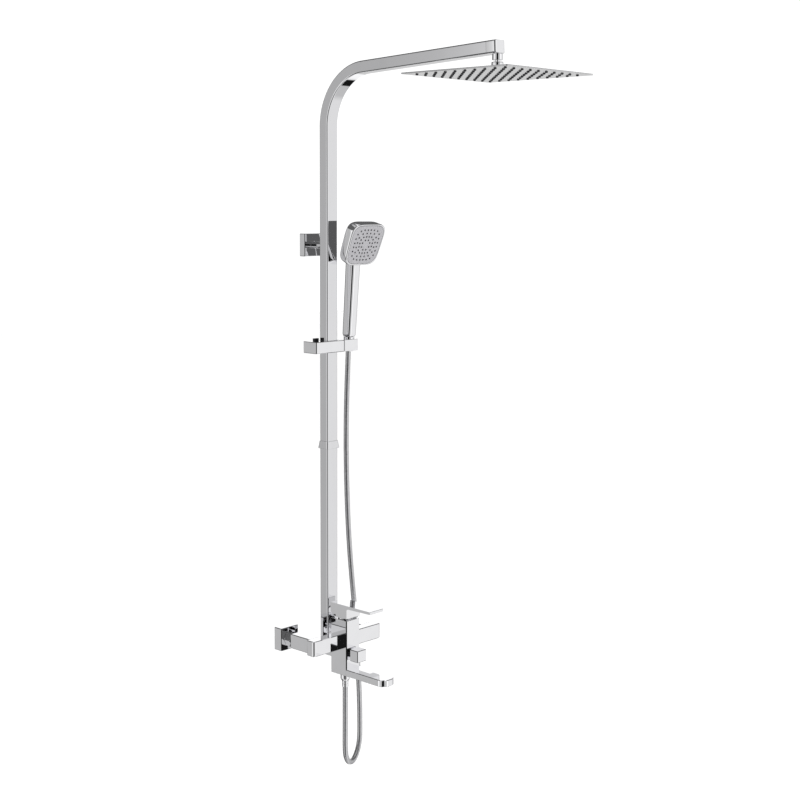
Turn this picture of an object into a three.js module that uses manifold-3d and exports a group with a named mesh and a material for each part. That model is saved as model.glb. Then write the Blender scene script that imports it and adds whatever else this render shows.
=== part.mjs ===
// Rainfall shower column: exposed bath mixer, riser rail with overhead arm, square rain head,
// sliding holder and hand shower. Millimetres, +Z up, the wall is the plane y = 0 and the
// column stands out from it towards -y. The origin is the back of the upper wall bracket.
import * as THREE from 'three';
import { mergeVertices } from 'three/addons/utils/BufferGeometryUtils.js';
import Module from 'manifold-3d';

// driving dimensions
const BRACKET_HEIGHT = 820;
const INLET_HALF_SPACING = 75;
const TUBE_WIDTH = 29.5;
const TUBE_DEPTH = 23.5;
const TUBE_WALL = 1.5;
const TUBE_CORNER = 3;
const BORE_WIDTH = TUBE_WIDTH - 2 * TUBE_WALL;
const BORE_DEPTH = TUBE_DEPTH - 2 * TUBE_WALL;
const TUBE_OUT = 61.5;
const TUBE_FOOT = -12.6;
const TUBE_SPLIT = 407;
const BEND_START = 1060.3;
const BEND_RADIUS = 113.5;
const ARM_SLOPE = THREE.MathUtils.degToRad(2.72);
const ARM_TUBE_END = 490;
const ARM_END = 513;
const HEAD_OUT = 505.5;
const HEAD_SIZE = 250;
const HEAD_BOTTOM = 1139.4;
const NOZZLE_PITCH = 23;
const NOZZLE_ROWS = 10;
const BALL_HEIGHT = 1154;
const BAR_HALF = 97.6;
const BAR_BACK = 97;
const BAR_FRONT = 119;
const BODY_HALF = 19.5;
const BODY_BACK = 87;
const BODY_FRONT = 133.7;
const BODY_TOP = 46;
const BODY_BOTTOM = -71;
const SPOUT_TIP = 241;
const CARTRIDGE_OUT = 110.35;
const LEVER_PIVOT = 50;
const DIVERTER_HEIGHT = -26.2;
const OUTLET_OUT = 110.35;
const SLIDER_HEIGHT = 612.6;
const SLIDER_HALF = 12;
const HAND_X = 52.5;
const HAND_OUT = 67;
const HAND_LEAN = THREE.MathUtils.degToRad(4.4);
const FACE_TILT = THREE.MathUtils.degToRad(22);
const FACE_OUT = 116.2;
const FACE_HEIGHT = 821.2;
const HOSE_RADIUS = 6;
const GAP = 0.3;

const wasm = await Module();
wasm.setup();

// solids
function solid(geometry) {
  geometry.deleteAttribute('normal');
  geometry.deleteAttribute('uv');
  const merged = mergeVertices(geometry, 1e-4);
  const corners = merged.attributes.position;
  const faces = merged.index.array;
  const [a, b, c] = [new THREE.Vector3(), new THREE.Vector3(), new THREE.Vector3()];
  let volume = 0;
  for (let i = 0; i < faces.length; i += 3) {
    a.fromBufferAttribute(corners, faces[i]);
    b.fromBufferAttribute(corners, faces[i + 1]);
    c.fromBufferAttribute(corners, faces[i + 2]);
    volume += a.dot(b.cross(c));
  }
  const outward = volume < 0 ? Array.from(faces).reverse() : faces;
  return new wasm.Manifold(new wasm.Mesh({
    numProp: 3,
    vertProperties: Float32Array.from(corners.array),
    triVerts: Uint32Array.from(outward),
  }));
}

// a box from x0 to x1, from out0 to out1 in front of the wall and from z0 to z1
function boxGeometry(x0, x1, out0, out1, z0, z1) {
  const box = new THREE.BoxGeometry(x1 - x0, out1 - out0, z1 - z0);
  box.translate((x0 + x1) / 2, -(out0 + out1) / 2, (z0 + z1) / 2);
  return box;
}

function box(x0, x1, out0, out1, z0, z1) {
  return solid(boxGeometry(x0, x1, out0, out1, z0, z1));
}

// an upright cylinder, or a cone where the two radii differ
function post(x, out, bottomRadius, topRadius, z0, z1, sides = 20) {
  const shape = new THREE.CylinderGeometry(topRadius, bottomRadius, z1 - z0, sides);
  shape.rotateX(Math.PI / 2);
  shape.translate(x, -out, (z0 + z1) / 2);
  return solid(shape);
}

// a cylinder that stands out from the wall
function rod(x, z, backRadius, frontRadius, out0, out1, sides = 20) {
  const shape = new THREE.CylinderGeometry(backRadius, frontRadius, out1 - out0, sides);
  shape.translate(0, -(out0 + out1) / 2, 0);
  shape.translate(x, 0, z);
  return solid(shape);
}

// a cylinder along x
function pin(x0, x1, out, z, radius, sides = 16) {
  const shape = new THREE.CylinderGeometry(radius, radius, x1 - x0, sides);
  shape.rotateZ(Math.PI / 2);
  shape.translate((x0 + x1) / 2, -out, z);
  return solid(shape);
}

function roundedShape(width, depth, radii, steps) {
  const shape = new THREE.Shape();
  const corners = [
    [width / 2, -depth / 2, -Math.PI / 2, radii[0], -1, 1],
    [width / 2, depth / 2, 0, radii[1], -1, -1],
    [-width / 2, depth / 2, Math.PI / 2, radii[2], 1, -1],
    [-width / 2, -depth / 2, Math.PI, radii[3], 1, 1],
  ];
  const points = [];
  for (const [x, y, start, radius, sx, sy] of corners) {
    for (let i = 0; i <= steps; i += 1) {
      const angle = start + (i / steps) * (Math.PI / 2);
      points.push(new THREE.Vector2(
        x + sx * radius + radius * Math.cos(angle),
        y + sy * radius + radius * Math.sin(angle),
      ));
    }
  }
  shape.setFromPoints(points);
  return shape;
}

// an upright block with rounded vertical edges, front edges and back edges with their own radius
function column(x, out, width, depth, z0, z1, frontRadius, backRadius = frontRadius, steps = 3) {
  const radii = [frontRadius, backRadius, backRadius, frontRadius];
  const shape = roundedShape(width, depth, radii, steps);
  const block = new THREE.ExtrudeGeometry(shape, { depth: z1 - z0, bevelEnabled: false });
  block.translate(x, -out, z0);
  return solid(block);
}

// the same block whose section grows by addLow at the bottom and addHigh at the top
function taperedColumn(x, out, width, depth, z0, z1, radius, addLow, addHigh, steps = 3) {
  const shape = roundedShape(width, depth, [radius, radius, radius, radius], steps);
  const block = new THREE.ExtrudeGeometry(shape, { depth: z1 - z0, bevelEnabled: false });
  const position = block.attributes.position;
  for (let i = 0; i < position.count; i += 1) {
    const add = addLow + (addHigh - addLow) * (position.getZ(i) / (z1 - z0));
    position.setX(i, position.getX(i) * (1 + (2 * add) / width));
    position.setY(i, position.getY(i) * (1 + (2 * add) / depth));
  }
  block.translate(x, -out, z0);
  return solid(block);
}

function turned(profile, sides = 24) {
  const points = profile.map(([radius, height]) => new THREE.Vector2(radius, height));
  const shape = new THREE.LatheGeometry(points, sides);
  shape.rotateX(Math.PI / 2);
  return shape;
}

function union(first, ...rest) {
  return rest.reduce((sum, item) => sum.add(item), first);
}

function cut(first, ...rest) {
  return rest.reduce((sum, item) => sum.subtract(item), first);
}

// materials
const CHROME = { color: 0xdcdee2, roughness: 0.07, metalness: 1 };
const STEEL = { color: 0xc9cccf, roughness: 0.22, metalness: 1 };
const BRASS = { color: 0xb8995c, roughness: 0.35, metalness: 1 };
const RUBBER = { color: 0x1b1b1d, roughness: 0.75, metalness: 0 };
const BLACK = { color: 0x18181a, roughness: 0.35, metalness: 0 };
const SILICONE = { color: 0x2a2a2d, roughness: 0.6, metalness: 0 };
const ACETAL = { color: 0xe6e4dd, roughness: 0.5, metalness: 0 };
const GREY = { color: 0xa8a7ad, roughness: 0.4, metalness: 0.2 };

const shower = new THREE.Group();
const assembly = new THREE.Group();
assembly.position.z = -BRACKET_HEIGHT;
shower.add(assembly);

function put(name, body, material, parent = assembly) {
  const data = body.getMesh();
  const geometry = new THREE.BufferGeometry();
  geometry.setAttribute('position', new THREE.BufferAttribute(Float32Array.from(data.vertProperties), 3));
  geometry.setIndex(new THREE.BufferAttribute(Uint32Array.from(data.triVerts), 1));
  geometry.computeVertexNormals();
  const mesh = new THREE.Mesh(geometry, new THREE.MeshStandardMaterial(material));
  mesh.name = name;
  parent.add(mesh);
  return mesh;
}

// upper wall bracket
const z820 = BRACKET_HEIGHT;
const bracketHoles = [13, -13].map((dz) => rod(0, z820 + dz, 2.4, 2.4, -1, 5, 16));
const bracketPlate = union(box(-19, 19, 0, 3.5, z820 - 19, z820 + 19), rod(0, z820, 9, 9, 3, 12));
put('bracket_base', cut(bracketPlate, ...bracketHoles, rod(0, z820, 4.1, 4.1, 5.7, 13, 16)), STEEL);
for (const [name, dz] of [['bracket_screw_upper', 13], ['bracket_screw_lower', -13]]) {
  const screw = union(rod(0, z820 + dz, 2, 2, 0.2, 4, 12), rod(0, z820 + dz, 3.8, 2.8, 3.8, 6, 12));
  put(name, cut(screw, box(-0.5, 0.5, 5.2, 7, z820 + dz - 2.4, z820 + dz + 2.4)), STEEL);
}
const coverBlank = box(-23.5, 23.5, 0, 15.6, z820 - 23.5, z820 + 23.5);
const coverHollow = box(-21.9, 21.9, -1, 14, z820 - 21.9, z820 + 21.9);
put('bracket_cover', cut(coverBlank, coverHollow, rod(0, z820, 4.4, 4.4, 13, 17, 16)), CHROME);
const pillar = union(
  rod(0, z820, 3.8, 3.8, 6, 16.5, 16),
  rod(0, z820, 6.8, 6.8, 15.9, 42.5),
  rod(0, z820, 6.8, 5, 42.5, 43.5),
  rod(0, z820, 5, 5, 43, 49.4),
  rod(0, z820, 3, 3, 49, 56, 12),
);
put('bracket_pillar', pillar, CHROME);
put('bracket_pillar_nut', cut(rod(0, z820, 5.6, 5.6, 51.8, 55, 6), rod(0, z820, 3.3, 3.3, 51, 56, 12)), BRASS);

// riser: lower tube, upper tube with its bend and arm, sleeve, seals and outer collar
function tubeShape(width, depth) {
  const corner = [TUBE_CORNER, TUBE_CORNER, TUBE_CORNER, TUBE_CORNER];
  const shape = roundedShape(width, depth, corner, 3);
  const inner = TUBE_CORNER - TUBE_WALL;
  const bore = roundedShape(width - 2 * TUBE_WALL, depth - 2 * TUBE_WALL, [inner, inner, inner, inner], 1);
  shape.holes.push(new THREE.Path(bore.getPoints().reverse()));
  return shape;
}

const lowerTube = new THREE.ExtrudeGeometry(tubeShape(TUBE_WIDTH, TUBE_DEPTH), {
  depth: TUBE_SPLIT - TUBE_FOOT, bevelEnabled: false,
});
lowerTube.translate(0, -TUBE_OUT, TUBE_FOOT);
put('riser_lower', solid(lowerTube), CHROME);

// stations along the upper tube: point and direction at each
class Stations extends THREE.Curve {
  constructor(points, directions) {
    super();
    this.points = points;
    this.directions = directions;
  }

  getPointAt(u) {
    return this.points[Math.round(u * (this.points.length - 1))].clone();
  }

  getTangentAt(u) {
    return this.directions[Math.round(u * (this.points.length - 1))].clone();
  }
}

const bendTurn = Math.PI / 2 - ARM_SLOPE;
const bendCentre = new THREE.Vector3(0, -TUBE_OUT - BEND_RADIUS, BEND_START);
const armDirection = new THREE.Vector3(0, -Math.cos(ARM_SLOPE), Math.sin(ARM_SLOPE));
const stationPoints = [new THREE.Vector3(0, -TUBE_OUT, TUBE_SPLIT + GAP)];
const stationDirections = [new THREE.Vector3(0, 0, 1)];
const BEND_STEPS = 12;
for (let i = 0; i <= BEND_STEPS; i += 1) {
  const angle = (i / BEND_STEPS) * bendTurn;
  const spoke = new THREE.Vector3(0, Math.cos(angle), Math.sin(angle));
  stationPoints.push(bendCentre.clone().addScaledVector(spoke, BEND_RADIUS));
  stationDirections.push(new THREE.Vector3(0, -Math.sin(angle), Math.cos(angle)));
}
const armStart = stationPoints[stationPoints.length - 1];
const armReach = (ARM_TUBE_END + armStart.y) / Math.cos(ARM_SLOPE);
stationPoints.push(armStart.clone().addScaledVector(armDirection, armReach));
stationDirections.push(armDirection.clone());
// the path's frame turns the section a quarter, so its width and depth change places
const upperTube = new THREE.ExtrudeGeometry(tubeShape(TUBE_DEPTH, TUBE_WIDTH), {
  steps: stationPoints.length - 1,
  extrudePath: new Stations(stationPoints, stationDirections),
});
put('riser_upper', cut(solid(upperTube), rod(0, z820, 3.4, 3.4, 46, 56, 12)), CHROME);

// a straight length of a section laid along the sloping arm, from one distance out to another
function alongArm(shape, out0, out1) {
  const reach0 = (out0 + armStart.y) / Math.cos(ARM_SLOPE);
  const reach1 = (out1 + armStart.y) / Math.cos(ARM_SLOPE);
  const path = new Stations(
    [
      armStart.clone().addScaledVector(armDirection, reach0),
      armStart.clone().addScaledVector(armDirection, reach1),
    ],
    [armDirection.clone(), armDirection.clone()],
  );
  return solid(new THREE.ExtrudeGeometry(shape, { steps: 1, extrudePath: path }));
}

function armHeightAt(out) {
  return armStart.z + (out + armStart.y) * Math.tan(ARM_SLOPE);
}

const corner = [TUBE_CORNER, TUBE_CORNER, TUBE_CORNER, TUBE_CORNER];
const endLength = ARM_END - ARM_TUBE_END - 1;
const endPlan = column(0, ARM_END - endLength / 2, TUBE_WIDTH, endLength, 1150, 1230, 5, 0.01);
const endBlock = alongArm(roundedShape(TUBE_WIDTH, TUBE_DEPTH, corner, 3), ARM_TUBE_END - 10, ARM_END + 20);
const spigotShape = roundedShape(BORE_WIDTH - 0.6, BORE_DEPTH - 0.6, [3, 3, 3, 3], 1);
const endSpigot = alongArm(spigotShape, ARM_TUBE_END - 16, ARM_TUBE_END + 4);
const endChannel = alongArm(roundedShape(13, 11, [2, 2, 2, 2], 1), ARM_TUBE_END - 20, HEAD_OUT);
const endCap = union(endPlan.intersect(endBlock), endSpigot);
put('arm_end_block', cut(endCap, endChannel, post(0, HEAD_OUT, 7, 7, 1150, 1192, 20)), CHROME);
const nippleTop = armHeightAt(HEAD_OUT) - TUBE_DEPTH / 2 - 0.9;
const nipple = union(
  post(0, HEAD_OUT, 10, 10, 1165.5, nippleTop),
  post(0, HEAD_OUT, 6.7, 6.7, nippleTop - 1, nippleTop + 12, 20),
);
put('arm_nipple', cut(nipple, post(0, HEAD_OUT, 4.9, 4.9, 1160, 1200, 16)), CHROME);

const couplingRing = (out, inner, z0, z1) => cut(
  column(0, TUBE_OUT, BORE_WIDTH - 2 * out, BORE_DEPTH - 2 * out, z0, z1, 3, 3, 1),
  column(0, TUBE_OUT, BORE_WIDTH - 2 * inner, BORE_DEPTH - 2 * inner, z0 - 1, z1 + 1, 2, 2, 1),
);
put('riser_coupling', couplingRing(0.3, 2.3, 372, 442), BRASS);
const collarOuter = taperedColumn(0, TUBE_OUT, TUBE_WIDTH, TUBE_DEPTH, 399.5, 415, TUBE_CORNER, 3.2, 1.1);
const collarInner = column(0, TUBE_OUT, TUBE_WIDTH + 0.6, TUBE_DEPTH + 0.6, 398, 417, TUBE_CORNER + 0.3);
put('joint_collar', cut(collarOuter, collarInner), CHROME);

// elbow behind the mixer that carries the riser
const elbow = union(
  column(0, 68.35, 27, 36.7, -40, -13, 2, 2, 2),
  couplingRing(0.3, 2.3, -13.5, 14),
);
const elbowBores = [
  column(0, TUBE_OUT, 20.4, 15.4, -22, -12, 2, 2, 1),
  rod(0, -27, 6, 6, TUBE_OUT, 90, 16),
  post(0, TUBE_OUT, 6, 6, -30, -20, 16),
];
put('riser_elbow', cut(elbow, ...elbowBores), BRASS);

// wall unions, cover plates, nuts, washers and inlet arms, left and right
for (const [side, x] of [['left', -INLET_HALF_SPACING], ['right', INLET_HALF_SPACING]]) {
  const plateFace = cut(
    box(x - 24, x + 24, 0, 21, -24, 24),
    box(x - 22.4, x + 22.4, -1, 19.4, -22.4, 22.4),
    rod(x, 0, 13.5, 13.5, 18, 22),
  );
  put(`wall_plate_${side}`, plateFace, CHROME);
  const unionBody = union(rod(x, 0, 10.2, 10.2, 0, 12.5), rod(x, 0, 13, 13, 12, 30.4));
  put(`wall_union_${side}`, cut(unionBody, rod(x, 0, 7.5, 7.5, -1, 32, 16)), BRASS);
  const washer = cut(rod(x, 0, 12.8, 12.8, 30.7, 31.5), rod(x, 0, 7.6, 7.6, 30, 32, 16));
  put(`inlet_washer_${side}`, washer, RUBBER);
  const nut = cut(
    rod(x, 0, 17.3, 17.3, 21.5, 38.7, 6),
    rod(x, 0, 13.35, 13.35, 21, 34),
    rod(x, 0, 10.6, 10.6, 33, 40),
  );
  put(`union_nut_${side}`, nut, CHROME);
  const arm = cut(
    union(
      rod(x, 0, 12.9, 12.9, 31.8, 33.6),
      rod(x, 0, 10.2, 10.2, 33, 40),
      box(x - 14.5, x + 14.5, 39, BAR_BACK - GAP, -15.2, 15.2),
    ),
    rod(x, 0, 7.5, 7.5, 30, 100, 16),
  );
  put(`inlet_arm_${side}`, arm, CHROME);
}

// mixer body: crossbar, valve block and spout are one casting
const barDepth = BAR_FRONT - BAR_BACK;
const bodyDepth = BODY_FRONT - BODY_BACK;
const spoutDepth = SPOUT_TIP - 120;
const casting = union(
  column(0, (BAR_FRONT + BAR_BACK) / 2, 2 * BAR_HALF, barDepth, -16, 16, 6, 2, 4),
  column(0, CARTRIDGE_OUT, 2 * BODY_HALF, bodyDepth, BODY_BOTTOM, BODY_TOP, 2.5, 1.5, 3),
  column(0, 120 + spoutDepth / 2, 2 * BODY_HALF, spoutDepth, BODY_BOTTOM, -57, 16, 1, 6),
);
const waterways = [
  post(0, CARTRIDGE_OUT, 17.6, 17.6, 8, 60, 32),
  post(0, CARTRIDGE_OUT, 3.5, 3.5, -26, 9, 12),
  rod(0, DIVERTER_HEIGHT, 9, 9, 112, 140),
  post(0, OUTLET_OUT, 6, 6, -80, -27, 20),
  rod(0, -27, 6, 6, 80, 113, 16),
  post(0, 122, 4, 4, -64, -30, 12),
  rod(0, -64, 4, 4, 120, 222, 12),
  post(0, 222, 10.4, 10.4, -80, -61, 24),
];
for (const sign of [-1, 1]) {
  waterways.push(rod(sign * INLET_HALF_SPACING, 0, 7.5, 7.5, 90, 114, 16));
  waterways.push(pin(Math.min(sign * 6, sign * 80), Math.max(sign * 6, sign * 80), 108, 0, 6, 12));
  waterways.push(post(sign * 9, 108, 2.5, 2.5, 2, 9, 10));
}
put('mixer_body', cut(casting, ...waterways), CHROME);

// aerator under the spout's tip
const aeratorRing = cut(post(0, 222, 10.1, 10.1, -72.6, -61.4), post(0, 222, 8, 8, -80, -60));
put('aerator_housing', aeratorRing, CHROME);
const grid = [-4.5, -1.5, 1.5, 4.5].map((dx) => box(dx - 0.6, dx + 0.6, 217, 227, -80, -60));
put('aerator_insert', cut(post(0, 222, 7.7, 7.7, -71.8, -66, 20), ...grid), ACETAL);

// ceramic cartridge, its nut and dome
const cartridge = union(
  post(0, CARTRIDGE_OUT, 17.2, 17.2, 8.3, 36, 28),
  post(0, CARTRIDGE_OUT, 9.4, 9.4, 35, 41, 20),
);
const portHoles = [[-9, 108], [9, 108]].map(([x, out]) => post(x, out, 2.3, 2.3, 0, 20, 10));
put('cartridge', cut(cartridge, ...portHoles, post(0, CARTRIDGE_OUT, 3.3, 3.3, 0, 20, 10)), ACETAL);
const nutRing = cut(post(0, CARTRIDGE_OUT, 17.3, 17.3, 36.3, 45.7, 28), post(0, CARTRIDGE_OUT, 12, 12, 30, 50));
put('cartridge_nut', nutRing, BRASS);
const dome = turned([[9.9, 39], [11.7, 39], [11.7, 46.4], [15.6, 46.4], [15.4, 48], [14.2, 50], [11.6, 51.6],
  [9.9, 51.8], [9.9, 39]], 22);
dome.translate(0, -CARTRIDGE_OUT, 0);
put('cartridge_dome', solid(dome), CHROME);

// lever carrier and lever
const carrier = cut(
  post(0, CARTRIDGE_OUT, 9.5, 9.5, 41.4, 54, 24),
  box(-4.4, 4.4, CARTRIDGE_OUT - 12, CARTRIDGE_OUT + 12, 42.8, 56),
  pin(-12, 12, CARTRIDGE_OUT, LEVER_PIVOT, 1.5, 12),
);
put('lever_carrier', carrier, ACETAL);
put('lever_pin', pin(-9, 9, CARTRIDGE_OUT, LEVER_PIVOT, 1.3, 12), STEEL);
const stem = cut(
  box(-4, 4, CARTRIDGE_OUT - 4, CARTRIDGE_OUT + 4, 43.6, 66.6),
  pin(-6, 6, CARTRIDGE_OUT, LEVER_PIVOT, 1.6, 12),
);
put('lever_stem', stem, BRASS);

const leverProfile = new THREE.Shape();
leverProfile.moveTo(86.2, 79);
leverProfile.lineTo(200.2, 79);
leverProfile.lineTo(201.6, 77.6);
leverProfile.lineTo(201.6, 74.6);
leverProfile.lineTo(200.4, 73.4);
leverProfile.lineTo(137.5, 72.3);
leverProfile.quadraticCurveTo(BODY_FRONT, 72.2, BODY_FRONT, 69);
leverProfile.lineTo(BODY_FRONT, 50.8);
leverProfile.lineTo(104, 50.8);
leverProfile.quadraticCurveTo(92, 52.4, 86.2, 60.8);
const leverBlank = new THREE.ExtrudeGeometry(leverProfile, {
  depth: 2 * BODY_HALF, bevelEnabled: false, curveSegments: 5,
});
leverBlank.applyMatrix4(new THREE.Matrix4().makeBasis(
  new THREE.Vector3(0, -1, 0),
  new THREE.Vector3(0, 0, 1),
  new THREE.Vector3(-1, 0, 0),
));
leverBlank.translate(BODY_HALF, 0, 0);
const lever = cut(
  solid(leverBlank),
  post(0, CARTRIDGE_OUT, 17.2, 17.2, 45, 58, 32),
  box(-4.15, 4.15, CARTRIDGE_OUT - 4.15, CARTRIDGE_OUT + 4.15, 50, 67),
  rod(0, 63, 2.3, 2.3, 80, CARTRIDGE_OUT, 12),
  rod(0, 66, 4.3, 4.3, 80, 89.3, 16),
);
put('mixer_lever', lever, CHROME);
put('lever_screw', rod(0, 63, 2, 2, 97, 106, 12), STEEL);
put('lever_index_plug', rod(0, 66, 4, 4, 86.4, 89, 16), BLACK);

// diverter in the front of the valve block
const gland = union(rod(0, DIVERTER_HEIGHT, 8.7, 8.7, 112.6, 134.6), rod(0, DIVERTER_HEIGHT, 8.2, 8.2, 134, 136.8));
put('diverter_gland', cut(gland, rod(0, DIVERTER_HEIGHT, 4.3, 4.3, 110, 140, 16)), BLACK);
put('diverter_spindle', rod(0, DIVERTER_HEIGHT, 4, 4, 113.5, 152, 16), BRASS);
const knobTop = DIVERTER_HEIGHT + 12.4;
const knobBottom = DIVERTER_HEIGHT - 12.4;
const knobBlank = column(0, (137.7 + 159.8) / 2, 26, 22.1, knobBottom, knobTop, 1.2, 1.2, 2);
put('diverter_knob', cut(knobBlank, rod(0, DIVERTER_HEIGHT, 4.3, 4.3, 130, 152.4, 16)), CHROME);

// hose outlet under the valve block
const outletNipple = union(
  post(0, OUTLET_OUT, 5.7, 5.7, -71.5, -60, 16),
  post(0, OUTLET_OUT, 7.6, 7.6, -83, -71.3, 20),
);
put('outlet_nipple', cut(outletNipple, post(0, OUTLET_OUT, 4, 4, -90, -50, 12)), BRASS);
const outletNut = turned([[7.9, -71.8], [9.5, -71.8], [10, -73], [10, -84], [7.2, -88.6], [5.3, -88.6],
  [5.3, -86.6], [7.9, -86.6], [7.9, -71.8]], 18);
outletNut.translate(0, -OUTLET_OUT, 0);
put('outlet_nut', solid(outletNut), CHROME);
const ferrule = turned([[3.5, -84.7], [7.4, -84.7], [7.4, -86.2], [5, -86.2], [5, -88.9], [6.7, -88.9],
  [6.7, -102], [3.5, -102], [3.5, -84.7]], 14);
ferrule.translate(0, -OUTLET_OUT, 0);
put('hose_ferrule', solid(ferrule), CHROME);

// slider on the riser: body, liner, brake shoe, pivot pin and release button
const s0 = SLIDER_HEIGHT - SLIDER_HALF;
const s1 = SLIDER_HEIGHT + SLIDER_HALF;
const sliderBody = cut(
  column(-13.15, 61.2, 79.7, 39.6, s0, s1, 1, 1, 2),
  column(0, TUBE_OUT, TUBE_WIDTH + 4.3, TUBE_DEPTH + 4.7, s0 - 1, s1 + 1, 5.5, 5.5, 2),
  box(-29.4, -15, 43.6, 49.4, s0 + 9, s1 + 1),
  pin(15, 30, 61.2, SLIDER_HEIGHT, 3.2, 16),
  box(-31, -15, 56, 67, s0 + 6, s1 - 6),
);
put('slider_body', sliderBody, CHROME);
const liner = cut(
  column(0, TUBE_OUT, TUBE_WIDTH + 3.7, TUBE_DEPTH + 4.1, s0 + 0.3, s1 - 0.3, 5.3, 5.3, 2),
  column(0, TUBE_OUT, TUBE_WIDTH + 0.6, TUBE_DEPTH + 0.6, s0 - 1, s1 + 1, TUBE_CORNER + 0.3),
  box(-20, -13, 56, 67, s0 + 6, s1 - 6),
);
put('slider_liner', liner, BLACK);
put('slider_brake_shoe', box(-30, -TUBE_WIDTH / 2 - 0.35, 56.4, 66.6, s0 + 6.4, s1 - 6.4), ACETAL);
put('slider_button', box(-29, -15.6, 43.9, 49.1, s0 + 12.5, s1 + 4.5), BLACK);

// hand shower holder that turns on the slider's pivot
const lean = new THREE.Matrix4().makeRotationX(HAND_LEAN);
const handFrame = new THREE.Matrix4().makeTranslation(HAND_X, -HAND_OUT, SLIDER_HEIGHT).multiply(lean);

// a turned or extruded piece placed on the hand shower's own leaning axis
function leaning(geometry) {
  geometry.applyMatrix4(handFrame);
  return solid(geometry);
}

const holder = cut(
  union(column(46.9, 61.2, 39.2, 39.6, s0, s1, 1.5, 1.5, 2), pin(19, 28, 61.2, SLIDER_HEIGHT, 2.9, 16)),
  leaning(turned([[0, -20], [9.4, -20], [11.85, 18], [0, 18], [0, -20]], 24)),
  box(HAND_X, 70, 59.6, 73.8, s0 - 1, s1 + 1),
);
put('hand_holder', holder, CHROME);

// hand shower: cone nut of the hose, its washer, the shell, the spray face and its nozzle mat
const coneNut = turned([[3.6, -13.4], [9.3, -13.4], [11.3, 17.4], [8.4, 17.4], [8.4, 4], [3.6, 4], [3.6, -13.4]], 18);
put('hose_cone_nut', leaning(coneNut), CHROME);

const faceNormal = new THREE.Vector3(0, -Math.cos(FACE_TILT), -Math.sin(FACE_TILT));
const faceUp = new THREE.Vector3(0, -Math.sin(FACE_TILT), Math.cos(FACE_TILT));
const faceFrame = new THREE.Matrix4().makeBasis(new THREE.Vector3(1, 0, 0), faceUp, faceNormal);
faceFrame.setPosition(HAND_X, -FACE_OUT, FACE_HEIGHT);

// the spray face's outline, a square with full sides, seen from the front
function faceOutline(width, height, steps) {
  const points = [];
  for (let i = 0; i < steps; i += 1) {
    const angle = (i / steps) * 2 * Math.PI;
    const c = Math.cos(angle);
    const s = Math.sin(angle);
    const reach = 1 / Math.pow(Math.pow(Math.abs(c), 4.6) + Math.pow(Math.abs(s), 4.6), 1 / 4.6);
    const y = (reach * s * height) / 2;
    const x = ((reach * c * width) / 2) * (1 + (0.08 * y) / height);
    points.push(new THREE.Vector2(x, y));
  }
  return new THREE.Shape(points);
}

function facePlate(width, height, near, far, steps) {
  const plate = new THREE.ExtrudeGeometry(faceOutline(width, height, steps), {
    depth: near - far, bevelEnabled: false,
  });
  plate.translate(0, 0, far);
  plate.applyMatrix4(faceFrame);
  return solid(plate);
}

// the shell's rounded back: the outline shrinks as it goes back from the face
function shellBack(width, height, near, far, shrink, steps) {
  const back = new THREE.ExtrudeGeometry(faceOutline(width, height, steps), {
    depth: near - far, steps: 4, bevelEnabled: false,
  });
  const position = back.attributes.position;
  for (let i = 0; i < position.count; i += 1) {
    const deep = (near - far - position.getZ(i)) / (near - far);
    const scale = Math.sqrt(Math.max(0, 1 - shrink * deep * deep));
    position.setX(i, position.getX(i) * scale);
    position.setY(i, position.getY(i) * scale);
  }
  back.translate(0, 0, far);
  back.applyMatrix4(faceFrame);
  return solid(back);
}

function gripSection(z0, z1, lowSize, highSize) {
  const shape = roundedShape(lowSize, lowSize, [7, 7, 7, 7], 3);
  const grip = new THREE.ExtrudeGeometry(shape, { depth: z1 - z0, bevelEnabled: false });
  const position = grip.attributes.position;
  for (let i = 0; i < position.count; i += 1) {
    const scale = 1 + (highSize / lowSize - 1) * (position.getZ(i) / (z1 - z0));
    position.setX(i, position.getX(i) * scale);
    position.setY(i, position.getY(i) * scale);
  }
  grip.translate(0, 0, z0);
  return leaning(grip);
}

const handShell = cut(
  union(
    shellBack(95, 92, -0.8, -24, 0.16, 24),
    gripSection(22, 190, 23.5, 26),
    gripSection(18.2, 22.2, 20.5, 23.5),
    leaning(turned([[0, 5.9], [8, 5.9], [8, 19], [0, 19], [0, 5.9]], 20)),
  ),
  facePlate(86.6, 84.6, 3, -5, 24),
  leaning(turned([[0, 4], [5, 4], [5, 176], [0, 176], [0, 4]], 12)),
  facePlate(70, 70, -3, -14, 20),
);
put('hand_shell', handShell, CHROME);

// hand shower nozzle places on four rounded square rings, in face coordinates
const handNozzles = [];
for (const [ring, count] of [[10.5, 8], [18, 16], [25.5, 16], [33, 24]]) {
  for (let i = 0; i < count; i += 1) {
    const angle = ((i + 0.5) / count) * 2 * Math.PI;
    const c = Math.cos(angle);
    const s = Math.sin(angle);
    const reach = ring / Math.pow(Math.pow(Math.abs(c), 4) + Math.pow(Math.abs(s), 4), 0.25);
    handNozzles.push([reach * c, reach * s]);
  }
}

function faceRods(radius, near, far, sides) {
  return handNozzles.map(([x, y]) => {
    const nozzle = new THREE.CylinderGeometry(radius, radius, near - far, sides);
    nozzle.rotateX(Math.PI / 2);
    nozzle.translate(x, y, (near + far) / 2);
    nozzle.applyMatrix4(faceFrame);
    return solid(nozzle);
  });
}

put('hand_face', cut(facePlate(86, 84, 0.4, -2.2, 24), ...faceRods(1.6, 2, -4, 4)), GREY);
put('hand_nozzle_mat', union(facePlate(76, 75, -2.5, -3.7, 24), ...faceRods(1.2, 0.9, -3, 4)), SILICONE);

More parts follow.
